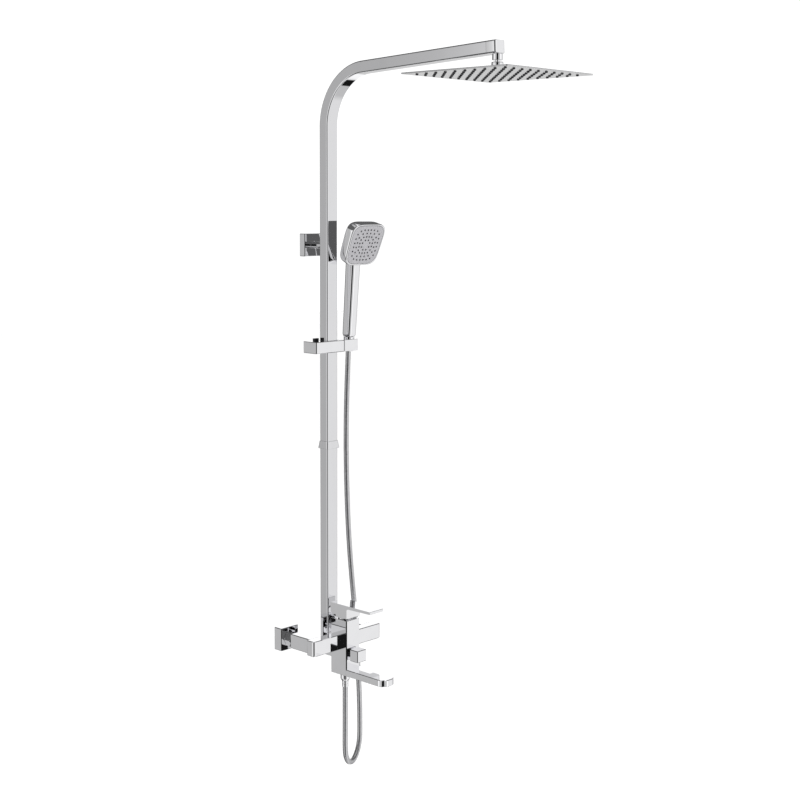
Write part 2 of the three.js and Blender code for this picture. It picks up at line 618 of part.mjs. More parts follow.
// overhead rain head: ball stem, seat, nut, cover, spray plate and nozzle mat
const ballProfile = [];
for (let i = 0; i <= 6; i += 1) {
  const angle = -Math.PI / 2 + 0.34 + (i / 6) * (Math.PI - 0.34 - 0.62);
  ballProfile.push([7.5 * Math.cos(angle), BALL_HEIGHT + 7.5 * Math.sin(angle)]);
}
const stemProfile = [[2.2, ballProfile[0][1]], ...ballProfile, [4.3, 1163], [4.6, 1165], [4.6, 1188], [2.2, 1188],
  [2.2, ballProfile[0][1]]];
const ballStem = turned(stemProfile, 14);
ballStem.translate(0, -HEAD_OUT, 0);
put('ball_stem', solid(ballStem), CHROME);
const seat = turned([[5.9, 1147.2], [9.2, 1147.2], [9.2, 1155], [7.9, 1155], [7.85, 1153], [7.3, 1150.6],
  [5.9, 1148.2], [5.9, 1147.2]], 14);
seat.translate(0, -HEAD_OUT, 0);
put('ball_seat', solid(seat), ACETAL);
const ballNut = turned([[9.5, 1146.9], [11, 1146.9], [11.2, 1148], [11.2, 1161], [10.6, 1162.2], [8.6, 1162.2],
  [7.1, 1158], [8.1, 1155.6], [9.5, 1155.3], [9.5, 1146.9]], 18);
ballNut.translate(0, -HEAD_OUT, 0);
put('ball_nut', solid(ballNut), CHROME);

const half = HEAD_SIZE / 2;
const headTop = HEAD_BOTTOM + 2.8;
const cover = cut(
  union(
    column(0, HEAD_OUT, HEAD_SIZE, HEAD_SIZE, headTop - 0.8, headTop, 4, 4, 3),
    post(0, HEAD_OUT, 18, 17, headTop - 0.4, headTop + 1.8, 28),
    post(0, HEAD_OUT, 12, 10.4, headTop + 1.6, 1146.6, 24),
  ),
  post(0, HEAD_OUT, 5, 5, 1130, 1160, 16),
);
put('head_cover', cover, CHROME);
const headNozzles = [];
for (let i = 0; i < NOZZLE_ROWS; i += 1) {
  for (let j = 0; j < NOZZLE_ROWS; j += 1) {
    headNozzles.push([(i - 4.5) * NOZZLE_PITCH, HEAD_OUT + (j - 4.5) * NOZZLE_PITCH]);
  }
}
const plateTop = HEAD_BOTTOM + 1.1;
const sprayPlate = cut(
  union(
    column(0, HEAD_OUT, HEAD_SIZE, HEAD_SIZE, HEAD_BOTTOM, plateTop, 4, 4, 3),
    cut(
      column(0, HEAD_OUT, HEAD_SIZE, HEAD_SIZE, plateTop - 0.1, headTop - 1.1, 4, 4, 3),
      column(0, HEAD_OUT, HEAD_SIZE - 4, HEAD_SIZE - 4, plateTop - 1, headTop, 3, 3, 2),
    ),
  ),
  ...headNozzles.map(([x, out]) => post(x, out, 2.9, 2.9, HEAD_BOTTOM - 2, plateTop + 1, 4)),
);
put('head_spray_plate', sprayPlate, STEEL);
const matBase = column(0, HEAD_OUT, HEAD_SIZE - 6, HEAD_SIZE - 6, plateTop + 0.15, plateTop + 0.45, 3, 3, 1);
const mat = union(
  matBase,
  ...headNozzles.map(([x, out]) => post(x, out, 1.8, 2.4, HEAD_BOTTOM - 2, plateTop + 0.3, 4)),
);
put('head_nozzle_mat', mat, SILICONE);

// shower hose, one route in three lengths: mixer to rail, under the holder, and into the cone nut
const HOSE_ROUTE = [
  [0, 110.35, -102.3], [0, 110.35, -130], [0, 110.35, -180], [0, 110.35, -235], [3.1, 108.8, -252.6],
  [12.1, 104.6, -267.5], [25.6, 98.2, -277.5], [41.4, 90.6, -281], [57.2, 83, -277.5], [70.7, 76.6, -267.5],
  [79.7, 72.3, -252.6], [82.8, 70.8, -235], [82.8, 70.8, -200], [80.6, 72.2, -165], [76.2, 75, -130],
  [69.4, 79.6, -96], [61.6, 84.6, -63], [55, 88.2, -34], [52.6, 89.4, -5], [52.1, 88.5, 22],
  [52.2, 85.2, 54], [52.2, 80.6, 90], [51.7, 76.2, 130], [50.7, 71.9, 180], [49.6, 68.6, 235],
  [48.4, 66.2, 305], [48.1, 64.5, 380], [48.9, 63.9, 455], [50.6, 64.2, 520], [52, 65.3, 570],
  [52.5, 66.1, 598.6],
];

function hoseLength(name, first, last, steps) {
  const route = HOSE_ROUTE.map(([x, out, z]) => new THREE.Vector3(x, -out, z));
  const curve = new THREE.CatmullRomCurve3(route, false, 'centripetal');
  const points = [];
  const directions = [];
  const count = route.length - 1;
  for (let i = 0; i <= steps; i += 1) {
    const t = (first + ((last - first) * i) / steps) / count;
    points.push(curve.getPoint(t));
    directions.push(curve.getTangent(t));
  }
  if (first > 0) {
    points[0].addScaledVector(directions[0], GAP);
  }
  const section = new THREE.Shape();
  section.absarc(0, 0, HOSE_RADIUS, 0, 2 * Math.PI, false);
  const hose = new THREE.ExtrudeGeometry(new THREE.Shape(section.getPoints(12).slice(0, 12)), {
    steps, extrudePath: new Stations(points, directions),
  });
  put(name, solid(hose), STEEL);
}

hoseLength('shower_hose_lower', 0, 26, 39);
hoseLength('shower_hose_middle', 26, 28, 3);
hoseLength('shower_hose_upper', 28, 30, 3);

export default shower;
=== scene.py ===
import math

import bmesh
import bpy
from mathutils import Matrix, Vector


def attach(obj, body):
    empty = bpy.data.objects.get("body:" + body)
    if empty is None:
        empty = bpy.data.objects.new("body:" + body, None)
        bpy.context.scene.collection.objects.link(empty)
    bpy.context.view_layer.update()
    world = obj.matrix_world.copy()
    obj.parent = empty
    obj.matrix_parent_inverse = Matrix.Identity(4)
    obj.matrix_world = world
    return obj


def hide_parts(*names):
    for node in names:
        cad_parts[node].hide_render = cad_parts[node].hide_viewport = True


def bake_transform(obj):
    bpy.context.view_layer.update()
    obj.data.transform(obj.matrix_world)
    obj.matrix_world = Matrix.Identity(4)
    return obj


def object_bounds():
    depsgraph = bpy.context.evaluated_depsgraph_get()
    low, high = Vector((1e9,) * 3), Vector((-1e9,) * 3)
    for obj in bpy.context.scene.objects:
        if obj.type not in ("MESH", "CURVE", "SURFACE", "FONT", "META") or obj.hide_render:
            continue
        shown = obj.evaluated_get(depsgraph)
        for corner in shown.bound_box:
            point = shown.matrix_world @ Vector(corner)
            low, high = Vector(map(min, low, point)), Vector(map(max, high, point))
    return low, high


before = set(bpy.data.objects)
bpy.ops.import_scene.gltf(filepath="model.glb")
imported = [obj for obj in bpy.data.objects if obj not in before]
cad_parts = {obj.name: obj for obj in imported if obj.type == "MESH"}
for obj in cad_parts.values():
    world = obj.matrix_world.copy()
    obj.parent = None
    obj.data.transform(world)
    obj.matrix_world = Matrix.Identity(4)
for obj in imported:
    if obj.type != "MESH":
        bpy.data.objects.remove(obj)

# Lengths below are millimetres from the mixer's inlet axis, as in part.mjs: x to the right,
# out from the wall, z up. add_piece() brings them to the row's frame in metres with TO_ROW.
BRACKET_HEIGHT = 820
TO_ROW = Matrix.Translation((0, 0, -BRACKET_HEIGHT / 1000)) @ Matrix.Scale(0.001, 4)
cad_low, cad_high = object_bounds()


# ---------------------------------------------------------------- camera
def add_camera():
    turn, dip, roll = 0.814, 0.112, 0.004
    right = Vector((math.cos(turn), -math.sin(turn), 0))
    ahead = Vector((math.sin(turn) * math.cos(dip), math.cos(turn) * math.cos(dip), -math.sin(dip)))
    up = right.cross(ahead)
    side = math.cos(roll) * right + math.sin(roll) * up
    top = math.cos(roll) * up - math.sin(roll) * right
    data = bpy.data.cameras.new("camera")
    data.sensor_width = 36
    data.lens = 65.52
    data.shift_y = -0.04
    camera = bpy.data.objects.new("camera", data)
    bpy.context.scene.collection.objects.link(camera)
    turned = Matrix((side, top, -ahead)).transposed().to_4x4()
    turned.translation = (-2.081, -2.230, 0.084)
    camera.matrix_world = turned
    bpy.context.scene.camera = camera


add_camera()


# ---------------------------------------------------------------- materials
def add_material(name, base, metallic, roughness, grain=60, stretch=(1, 1, 1), shade=0.02, bump=0.02,
                 depth=0.0002):
    """A procedural finish: its colour, roughness and surface vary with noise in object space."""
    made = bpy.data.materials.new(name)
    made.use_nodes = True
    nodes, links = made.node_tree.nodes, made.node_tree.links
    shader = nodes["Principled BSDF"]
    shader.inputs["Metallic"].default_value = metallic
    where = nodes.new("ShaderNodeTexCoord")
    mapping = nodes.new("ShaderNodeMapping")
    mapping.inputs["Scale"].default_value = stretch
    links.new(where.outputs["Object"], mapping.inputs["Vector"])
    coarse = nodes.new("ShaderNodeTexNoise")
    coarse.inputs["Scale"].default_value = grain
    coarse.inputs["Detail"].default_value = 4
    fine = nodes.new("ShaderNodeTexNoise")
    fine.inputs["Scale"].default_value = grain * 9
    fine.inputs["Detail"].default_value = 3
    for noise in (coarse, fine):
        links.new(mapping.outputs["Vector"], noise.inputs["Vector"])
    ramp = nodes.new("ShaderNodeValToRGB")
    ramp.color_ramp.elements[0].position = 0.3
    ramp.color_ramp.elements[0].color = (*[c * (1 - shade) for c in base], 1)
    ramp.color_ramp.elements[1].position = 0.7
    ramp.color_ramp.elements[1].color = (*[min(1, c * (1 + shade)) for c in base], 1)
    links.new(coarse.outputs["Fac"], ramp.inputs["Fac"])
    links.new(ramp.outputs["Color"], shader.inputs["Base Color"])
    spread = nodes.new("ShaderNodeMapRange")
    spread.inputs["From Min"].default_value = 0.3
    spread.inputs["From Max"].default_value = 0.7
    spread.inputs["To Min"].default_value = roughness[0]
    spread.inputs["To Max"].default_value = roughness[1]
    links.new(fine.outputs["Fac"], spread.inputs["Value"])
    links.new(spread.outputs["Result"], shader.inputs["Roughness"])
    relief = nodes.new("ShaderNodeBump")
    relief.inputs["Strength"].default_value = bump
    relief.inputs["Distance"].default_value = depth
    links.new(fine.outputs["Fac"], relief.inputs["Height"])
    links.new(relief.outputs["Normal"], shader.inputs["Normal"])
    return made


CHROME = add_material("chrome_plate", (0.90, 0.90, 0.915), 1, (0.015, 0.04), grain=30, shade=0.012,
                      bump=0.004)
TUBE_CHROME = add_material("chrome_tube", (0.80, 0.80, 0.815), 1, (0.02, 0.05), grain=24,
                           stretch=(1, 1, 0.2), shade=0.015, bump=0.004)
PLATE_STEEL = add_material("polished_steel", (0.70, 0.70, 0.705), 1, (0.09, 0.16), grain=45,
                           stretch=(1, 14, 1), shade=0.03, bump=0.02)
HOSE_STEEL = add_material("hose_steel", (0.60, 0.60, 0.615), 1, (0.07, 0.16), grain=110, shade=0.06,
                          bump=0.02)
SCREW_STEEL = add_material("zinc_steel", (0.66, 0.66, 0.68), 1, (0.2, 0.34), grain=160, shade=0.06,
                           bump=0.05)
BRASS = add_material("machined_brass", (0.72, 0.53, 0.25), 1, (0.18, 0.34), grain=140,
                     stretch=(1, 1, 5), shade=0.08, bump=0.06)
SILICONE = add_material("dark_silicone", (0.022, 0.022, 0.026), 0, (0.4, 0.6), grain=200, shade=0.15,
                        bump=0.15)
NOZZLE_GREY = add_material("grey_silicone", (0.034, 0.033, 0.038), 0, (0.4, 0.6), grain=200, shade=0.12,
                           bump=0.12)
BLACK_PLASTIC = add_material("moulded_black", (0.012, 0.012, 0.014), 0, (0.22, 0.36), grain=180, shade=0.2,
                             bump=0.12)
ACETAL = add_material("natural_acetal", (0.80, 0.78, 0.72), 0, (0.35, 0.5), grain=120, shade=0.04, bump=0.08)
FACE_GREY = add_material("satin_grey_face", (0.46, 0.455, 0.475), 0.1, (0.3, 0.42), grain=260, shade=0.05,
                         bump=0.1)


# ---------------------------------------------------------------- shapes
def ring_of(width, depth, radii, steps=6):
    """A rectangle with rounded corners, anticlockwise from the corner at +x +y."""
    if not hasattr(radii, "__len__"):
        radii = (radii,) * 4
    points = []
    signs = ((1, 1, 0), (-1, 1, 90), (-1, -1, 180), (1, -1, 270))
    for (sx, sy, start), radius in zip(signs, radii):
        radius = max(0.02, min(radius, width / 2 - 0.01, depth / 2 - 0.01))
        for i in range(steps + 1):
            angle = math.radians(start + 90 * i / steps)
            points.append((sx * (width / 2 - radius) + radius * math.cos(angle),
                           sy * (depth / 2 - radius) + radius * math.sin(angle)))
    return points


def circle(radius, z, sides, x=0, y=0):
    """A level ring of points round (x, y)."""
    turns = [2 * math.pi * k / sides for k in range(sides)]
    return [(x + radius * math.cos(a), y + radius * math.sin(a), z) for a in turns]


def chain(rings, loop=False):
    """A skin over rings of equally many points, closed at both ends or joined end to end."""
    bm = bmesh.new()
    rows = [[bm.verts.new(p) for p in ring] for ring in rings]
    for a, b in zip(rows, rows[1:] + (rows[:1] if loop else [])):
        for i in range(len(a)):
            j = (i + 1) % len(a)
            bm.faces.new((a[i], a[j], b[j], b[i]))
    if not loop:
        bm.faces.new(rows[0][::-1])
        bm.faces.new(rows[-1])
    bmesh.ops.recalc_face_normals(bm, faces=bm.faces[:])
    return bm


def block(width, depth, z0, z1, radii, edge, edge_low=None, steps=6, rim=4):
    """An upright block with rounded corners and rims, or with flat chamfers where steps and rim are 1."""
    edge_low = edge if edge_low is None else edge_low
    if not hasattr(radii, "__len__"):
        radii = (radii,) * 4
    rings = []
    levels = [(z0 + edge_low * (1 - math.cos(a)), edge_low * (1 - math.sin(a))) for a in quarter(rim)]
    levels += [(z1 - edge * (1 - math.cos(a)), edge * (1 - math.sin(a))) for a in reversed(quarter(rim))]
    for z, inset in levels:
        outline = ring_of(width - 2 * inset, depth - 2 * inset, [max(r - inset, 0.02) for r in radii], steps)
        rings.append([(x, y, z) for x, y in outline])
    return rings


def quarter(steps):
    return [math.pi / 2 * i / steps for i in range(steps + 1)]


def softened(profile, radius, closed=True):
    """The same outline with each corner replaced by a short curve."""
    points, count = [], len(profile)
    for i, corner in enumerate(profile):
        if not closed and i in (0, count - 1):
            points.append(tuple(corner))
            continue
        here = Vector(corner)
        before, after = Vector(profile[i - 1]), Vector(profile[(i + 1) % count])
        first = here + (before - here).normalized() * min(radius, (before - here).length * 0.45)
        last = here + (after - here).normalized() * min(radius, (after - here).length * 0.45)
        for t in (0, 0.25, 0.5, 0.75, 1):
            points.append(tuple(first * (1 - t) ** 2 + here * 2 * t * (1 - t) + last * t ** 2))
    return points


def lathe(profile, radius=0.4, sides=56):
    """A closed outline of (radius, height) turned about z."""
    outline = softened(profile, radius)
    return chain([[(r * math.cos(2 * math.pi * k / sides), r * math.sin(2 * math.pi * k / sides), z)
                   for k in range(sides)] for r, z in outline], loop=True)


def extruded(outline, low, high, axes):
    """A flat outline carried from low to high along the third of the given axes."""
    first, second, third = axes
    return chain([[tuple(first * u + second * v + third * w) for u, v in outline] for w in (low, high)])


def moved(bm, matrix):
    bmesh.ops.transform(bm, matrix=matrix, verts=bm.verts[:])
    return bm


def at(x, out, z=0):
    return Matrix.Translation((x, -out, z))


def facing_out(x, z):
    """Local z points out from the wall, local y up."""
    axes = Matrix(((1, 0, 0), (0, 0, -1), (0, 1, 0))).to_4x4()
    return Matrix.Translation((x, 0, z)) @ axes


def as_object(bm, name="scratch"):
    mesh = bpy.data.meshes.new(name)
    bm.to_mesh(mesh)
    bm.free()
    made = bpy.data.objects.new(name, mesh)
    bpy.context.scene.collection.objects.link(made)
    return made


def evaluated(made):
    """The object's shape with its modifiers, as a bmesh. The object is removed."""
    mesh = bpy.data.meshes.new_from_object(made.evaluated_get(bpy.context.evaluated_depsgraph_get()))
    bm = bmesh.new()
    bm.from_mesh(mesh)
    bpy.data.objects.remove(made)
    bpy.data.meshes.remove(mesh)
    return bm


def carved(bm, *cutters, operation="DIFFERENCE"):
    base = as_object(bm)
    tools = [as_object(cutter) for cutter in cutters]
    for tool in tools:
        modifier = base.modifiers.new("carve", "BOOLEAN")
        modifier.object = tool
        modifier.operation = operation
        modifier.solver = "EXACT"
    result = evaluated(base)
    for tool in tools:
        bpy.data.objects.remove(tool)
    return result


def bevelled(bm, width, segments=3, angle=32):
    base = as_object(bm)
    modifier = base.modifiers.new("bevel", "BEVEL")
    modifier.width = width
    modifier.segments = segments
    modifier.limit_method = "ANGLE"
    modifier.angle_limit = math.radians(angle)
    modifier.use_clamp_overlap = True
    return evaluated(base)


def add_piece(name, body, material, nodes, *shells, sharp=34, weighted=True):
    """One named piece made of closed shells. It rides on a body and stands for CAD nodes."""
    whole = bmesh.new()
    for shell in shells:
        mesh = bpy.data.meshes.new("part")
        shell.to_mesh(mesh)
        shell.free()
        whole.from_mesh(mesh)
        bpy.data.meshes.remove(mesh)
    bmesh.ops.transform(whole, matrix=TO_ROW, verts=whole.verts[:])
    made = as_object(whole, name)
    made.data.shade_smooth()
    made.data.set_sharp_from_angle(angle=math.radians(sharp))
    made.data.materials.append(material)
    if weighted:
        modifier = made.modifiers.new("normals", "WEIGHTED_NORMAL")
        modifier.keep_sharp = True
        modifier.weight = 80
    if nodes:
        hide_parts(*nodes)
    if body:
        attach(made, body)
    return made


# ---------------------------------------------------------------- hose, one route in three lengths
HOSE_DIAMETER = 12
GAP = 0.3
HOSE_ROUTE = [
    (0, 110.35, -102.3), (0, 110.35, -130), (0, 110.35, -180), (0, 110.35, -235), (3.1, 108.8, -252.6),
    (12.1, 104.6, -267.5), (25.6, 98.2, -277.5), (41.4, 90.6, -281), (57.2, 83, -277.5), (70.7, 76.6, -267.5),
    (79.7, 72.3, -252.6), (82.8, 70.8, -235), (82.8, 70.8, -200), (80.6, 72.2, -165), (76.2, 75, -130),
    (69.4, 79.6, -96), (61.6, 84.6, -63), (55, 88.2, -34), (52.6, 89.4, -5), (52.1, 88.5, 22),
    (52.2, 85.2, 54), (52.2, 80.6, 90), (51.7, 76.2, 130), (50.7, 71.9, 180), (49.6, 68.6, 235),
    (48.4, 66.2, 305), (48.1, 64.5, 380), (48.9, 63.9, 455), (50.6, 64.2, 520), (52, 65.3, 570),
    (52.5, 66.1, 598.6),
]


def on_route(t):
    """The point at t places along the route, on a smooth curve through its points."""
    points = [Vector((x, -out, z)) for x, out, z in HOSE_ROUTE]
    points = [2 * points[0] - points[1], *points, 2 * points[-1] - points[-2]]
    i = min(int(t), len(HOSE_ROUTE) - 2)
    u = t - i
    a, b, c, d = points[i:i + 4]
    before, here, after = (math.sqrt((q - p).length) for p, q in ((a, b), (b, c), (c, d)))
    leave = ((b - a) / before - (c - a) / (before + here) + (c - b) / here) * here
    arrive = ((c - b) / here - (d - b) / (here + after) + (d - c) / after) * here
    square = 3 * (c - b) - 2 * leave - arrive
    cube = 2 * (b - c) + leave + arrive
    return b + leave * u + square * u ** 2 + cube * u ** 3


def add_hose(name, first, last, node):
    """A length of spiral metal hose from one place on the route to another."""
    dense = [on_route(first + (last - first) * i / 4000) for i in range(4001)]
    if first > 0:
        dense[0] = dense[0] + (dense[1] - dense[0]).normalized() * GAP
    along = [0.0]
    for p, q in zip(dense, dense[1:]):
        along.append(along[-1] + (q - p).length)
    length, pitch, sides, per_turn = along[-1], 3.0, 18, 7
    count = int(length / pitch * per_turn)
    rings, centres, k = [], [], 0
    across = Vector((1, 0, 0))
    for i in range(count + 1):
        target = length * i / count
        while k < len(along) - 2 and along[k + 1] < target:
            k += 1
        share = (target - along[k]) / max(along[k + 1] - along[k], 1e-9)
        centre = dense[k].lerp(dense[k + 1], share)
        ahead = (dense[min(k + 6, 4000)] - dense[max(k - 5, 0)]).normalized()
        across = (across - ahead * across.dot(ahead)).normalized()
        other = ahead.cross(across)
        ring = []
        for j in range(sides):
            angle = 2 * math.pi * j / sides
            swell = abs(math.sin(math.pi * target / pitch - angle / 2))
            radius = HOSE_DIAMETER / 2 - 0.46 - 0.4 * (1 - swell) ** 1.6
            ring.append(tuple(centre + (across * math.cos(angle) + other * math.sin(angle)) * radius))
        rings.append(ring)
        centres.append(centre)
    piece = add_piece(name, None, HOSE_STEEL, [node], chain(rings), sharp=60, weighted=False)
    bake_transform(piece)
    return piece


outlet_nut = add_piece(
    "outlet_swivel_nut", "column", CHROME, ["outlet_nut"],
    moved(lathe([(7.9, -71.8), (9.6, -71.8), (10, -73), (10, -84), (7.2, -88.6), (5.3, -88.6), (5.3, -86.6),
                 (7.9, -86.6)], 0.7), at(0, 110.35)),
)
hose_ferrule = add_piece(
    "hose_crimp_ferrule", "column", CHROME, ["hose_ferrule"],
    moved(lathe([(3.5, -84.7), (7.2, -84.7), (7.2, -86.2), (5, -86.2), (5, -88.9), (6.7, -88.9), (6.7, -93),
                 (6.3, -93.6), (6.3, -95), (6.7, -95.6), (6.7, -102), (3.5, -102)], 0.3), at(0, 110.35)),
)
add_hose("hose_lower", 0, 26, "shower_hose_lower")
add_hose("hose_middle", 26, 28, "shower_hose_middle")
add_hose("hose_upper", 28, 30, "shower_hose_upper")


# ---------------------------------------------------------------- riser rail, arm and bracket
TUBE_WIDTH, TUBE_DEPTH, TUBE_WALL, TUBE_CORNER, TUBE_OUT = 29.5, 23.5, 1.5, 3, 61.5
ARM_SLOPE = math.radians(2.72)
BEND_START, BEND_RADIUS = 1060.3, 113.5
HEAD_OUT = 505.5


def tube_skin(stations):
    """A hollow rounded tube through stations of (centre, direction) in the plane x = 0."""
    outer, inner = [], []
    for centre, ahead in stations:
        normal = Vector((1, 0, 0)).cross(ahead)
        for rings, less, radius in ((outer, 0, TUBE_CORNER), (inner, TUBE_WALL, TUBE_CORNER - TUBE_WALL)):
            outline = ring_of(TUBE_WIDTH - 2 * less, TUBE_DEPTH - 2 * less, radius, 8)
            rings.append([tuple(centre + Vector((x, 0, 0)) + normal * y) for x, y in outline])
    return chain(outer + inner[::-1], loop=True)


up = Vector((0, 0, 1))
add_piece("riser_tube_lower", "column", TUBE_CHROME, ["riser_lower"],
          tube_skin([(Vector((0, -TUBE_OUT, z)), up) for z in (-12.6, 407)]))

stations = [(Vector((0, -TUBE_OUT, z)), up) for z in (407.3, 800, BEND_START - 2)]
bend_centre = Vector((0, -TUBE_OUT - BEND_RADIUS, BEND_START))
bend_turn = math.pi / 2 - ARM_SLOPE
for i in range(61):
    angle = bend_turn * i / 60
    spoke = Vector((0, math.cos(angle), math.sin(angle)))
    stations.append((bend_centre + spoke * BEND_RADIUS, Vector((0, -math.sin(angle), math.cos(angle)))))
arm_start, arm_direction = stations[-1]


def on_arm(out):
    return arm_start + arm_direction * ((out + arm_start.y) / math.cos(ARM_SLOPE))


stations += [(on_arm(out), arm_direction) for out in (200, 489.9)]
add_piece("riser_tube_upper", "column", TUBE_CHROME, ["riser_upper"], tube_skin(stations))

end_rings = []
arm_normal = Vector((1, 0, 0)).cross(arm_direction)
levels = [(490.05, 0.25), (490.3, 0)] + [(507 + 5 * math.sin(a), 5 - 5 * math.cos(a)) for a in quarter(8)]
for out, inset in levels:
    last = out > 511.9
    depth = TUBE_DEPTH - (0.5 if last else 0)
    outline = ring_of(TUBE_WIDTH - 2 * inset, depth, TUBE_CORNER - inset * 0.5, 8)
    centre = on_arm(out)
    end_rings.append([tuple(centre + Vector((x, 0, 0)) + arm_normal * y) for x, y in outline])
add_piece("arm_end_cap", "column", CHROME, ["arm_end_block"], chain(end_rings), sharp=50)

nipple_top = on_arm(HEAD_OUT).z - TUBE_DEPTH / 2 - 0.9
add_piece("arm_swivel_nipple", "column", CHROME, ["arm_nipple"],
          moved(lathe([(4.9, 1165.5), (10, 1165.5), (10, nipple_top), (6.7, nipple_top),
                       (6.7, nipple_top + 10), (4.9, nipple_top + 10)], 0.6), at(0, HEAD_OUT)))

collar_rings = []
for z, add in ((399.5, 2.9), (399.8, 3.2), (414.6, 1.12), (415, 0.8)):
    outline = ring_of(TUBE_WIDTH + 2 * add, TUBE_DEPTH + 2 * add, TUBE_CORNER + 0.7, 8)
    collar_rings.append([(x, y, z) for x, y in outline])
for z in (415, 399.5):
    outline = ring_of(TUBE_WIDTH + 0.6, TUBE_DEPTH + 0.6, TUBE_CORNER + 0.3, 8)
    collar_rings.append([(x, y, z) for x, y in outline])
add_piece("coupling_collar", "column", TUBE_CHROME, ["joint_collar"],
          moved(chain(collar_rings, loop=True), at(0, TUBE_OUT)))

add_piece("riser_base_elbow", "column", CHROME, ["riser_elbow"],
          moved(chain(block(27, 36.7, -40, -13, 2, 1)), at(0, 68.35)))


def cup(size, depth, wall, corner, edge):
    """A square cover, open at the wall, with a chamfered rim in front."""
    outside = block(size, size, 0, depth, corner, edge, 0.05, 1, 1)
    hollow = ring_of(size - 2 * wall, size - 2 * wall, corner, 1)
    inside = [[(x, y, z) for x, y in hollow] for z in (depth - wall, 0)]
    return chain(inside + outside)


add_piece("bracket_square_cover", "column", CHROME, ["bracket_cover"],
          moved(cup(47, 15.6, 1.6, 1.2, 1.1), facing_out(0, BRACKET_HEIGHT)))
add_piece("bracket_standoff", "column", CHROME, ["bracket_pillar"],
          moved(lathe([(0.05, 6), (3.8, 6), (3.8, 15.9), (6.8, 15.9), (6.8, 42.5), (5, 43.5),
                       (5, 49.4), (3, 49.4), (3, 55.5), (0.05, 55.5)], 0.4),
                facing_out(0, BRACKET_HEIGHT)))


# ---------------------------------------------------------------- wall connections
def hexagon_nut(across_corners, bore_back, bore_front, step, low, high):
    """A hexagon nut with chamfered corners, its bore narrower in front."""
    sides = 96
    tall = high - low
    levels = [(0, 1.6), (0.9, 0.6), (2.2, 0), (tall - 2.2, 0), (tall - 0.9, 0.6), (tall, 1.6)]
    rings = []
    for height, less in levels:
        ring = []
        for k in range(sides):
            angle = 2 * math.pi * k / sides
            flat = across_corners * math.cos(math.pi / 6) / math.cos((angle % (math.pi / 3)) - math.pi / 6)
            radius = min(flat, across_corners - less)
            ring.append((radius * math.cos(angle), radius * math.sin(angle), low + height))
        rings.append(ring)
    for radius, height in ((bore_front, high), (bore_front, step), (bore_back, step), (bore_back, low)):
        rings.append(circle(radius, height, sides))
    return chain(rings, loop=True)


for side, x in (("left", -75), ("right", 75)):
    spot = facing_out(x, 0)
    add_piece(f"wall_cover_{side}", "column", CHROME, [f"wall_plate_{side}"],
              moved(cup(48, 21, 1.6, 1.4, 1.1), spot))
    add_piece(f"union_stub_{side}", "column", BRASS, [f"wall_union_{side}"],
              moved(lathe([(7.5, 0), (10.2, 0), (10.2, 12), (13, 12.5), (13, 30.4), (7.5, 30.4)], 0.3), spot))
    add_piece(f"union_seal_{side}", "column", SILICONE, [f"inlet_washer_{side}"],
              moved(lathe([(7.6, 30.7), (12.8, 30.7), (12.8, 31.5), (7.6, 31.5)], 0.15), spot))
    add_piece(f"hexagon_union_nut_{side}", "column", CHROME, [f"union_nut_{side}"],
              moved(hexagon_nut(17.3, 13.35, 10.6, 34, 21.5, 38.7), spot), sharp=26)
    add_piece(f"inlet_elbow_{side}", "column", CHROME, [f"inlet_arm_{side}"],
              moved(lathe([(7.5, 31.8), (12.9, 31.8), (12.9, 33.6), (10.2, 34), (10.2, 39.5),
                           (7.5, 39.5)], 0.3), spot),
              moved(chain(block(29, 30.4, 39, 96.7, 1.4, 0.8, None, 1, 1)), spot))


# ---------------------------------------------------------------- mixer
add_piece(
    "mixer_casting", "column", CHROME, ["mixer_body"],
    moved(chain(block(195.2, 22, -16, 16, (2, 2, 6, 6), 1.2, rim=1)), at(0, 108)),
    moved(chain(block(39, 46.7, -71, 46, (1.5, 1.5, 1.8, 1.8), 0.5, steps=1)), at(0, 110.35)),
    moved(chain(block(38.9, 140, -70.95, -57, (1, 1, 16, 16), 1.2, 0.7, 12, 1)), at(0, 171)),
)
add_piece("aerator_ring", "column", CHROME, ["aerator_housing"],
          moved(lathe([(8, -61.4), (10.1, -61.4), (10.1, -72.6), (8, -72.6)], 0.5), at(0, 222)))
insert_profile = [(0.05, -66)] + [(7.7, -66), (7.7, -71.8)]
for radius in (6.6, 5.1, 3.6, 2.1):
    insert_profile += [(radius, -71.8), (radius, -70.4), (radius - 0.7, -70.4), (radius - 0.7, -71.8)]
add_piece("aerator_mesh", "column", ACETAL, ["aerator_insert"],
          moved(lathe(insert_profile + [(0.05, -71.8)], 0.1, 40), at(0, 222)))
add_piece("cartridge_cover_dome", "column", CHROME, ["cartridge_dome"],
          moved(lathe([(9.9, 39), (11.7, 39), (11.7, 46.4), (15.6, 46.4), (15.5, 48), (14.4, 50),
                       (11.8, 51.6), (9.9, 51.8)], 0.8, 72), at(0, 110.35)))

lever_outline = [
    (86.2, 79), (201.6, 79), (201.6, 73.4), (138, 72.3), (134.6, 71.2), (133.7, 68), (133.7, 50.8),
    (104, 50.8), (96, 52.2), (90, 56), (86.2, 60.8),
]
lever_axes = (Vector((0, -1, 0)), Vector((0, 0, 1)), Vector((1, 0, 0)))
lever_shape = carved(
    extruded(softened(lever_outline, 0.9), -19.5, 19.5, lever_axes),
    moved(chain([circle(17.2, z, 64) for z in (45, 58)]), at(0, 110.35)),
    chain([[(x, -110.35 + y, z) for x, y in ring_of(8.3, 8.3, 0.1, 1)] for z in (50, 67)]),
)
add_piece("lever_handle", "lever", CHROME, ["mixer_lever"], bevelled(lever_shape, 1.1, 1))
add_piece("lever_index_cap", "lever", BLACK_PLASTIC, ["lever_index_plug"],
          moved(lathe([(0.05, 86.4), (4, 86.4), (4, 89), (0.05, 89)], 0.5, 40), facing_out(0, 66)))
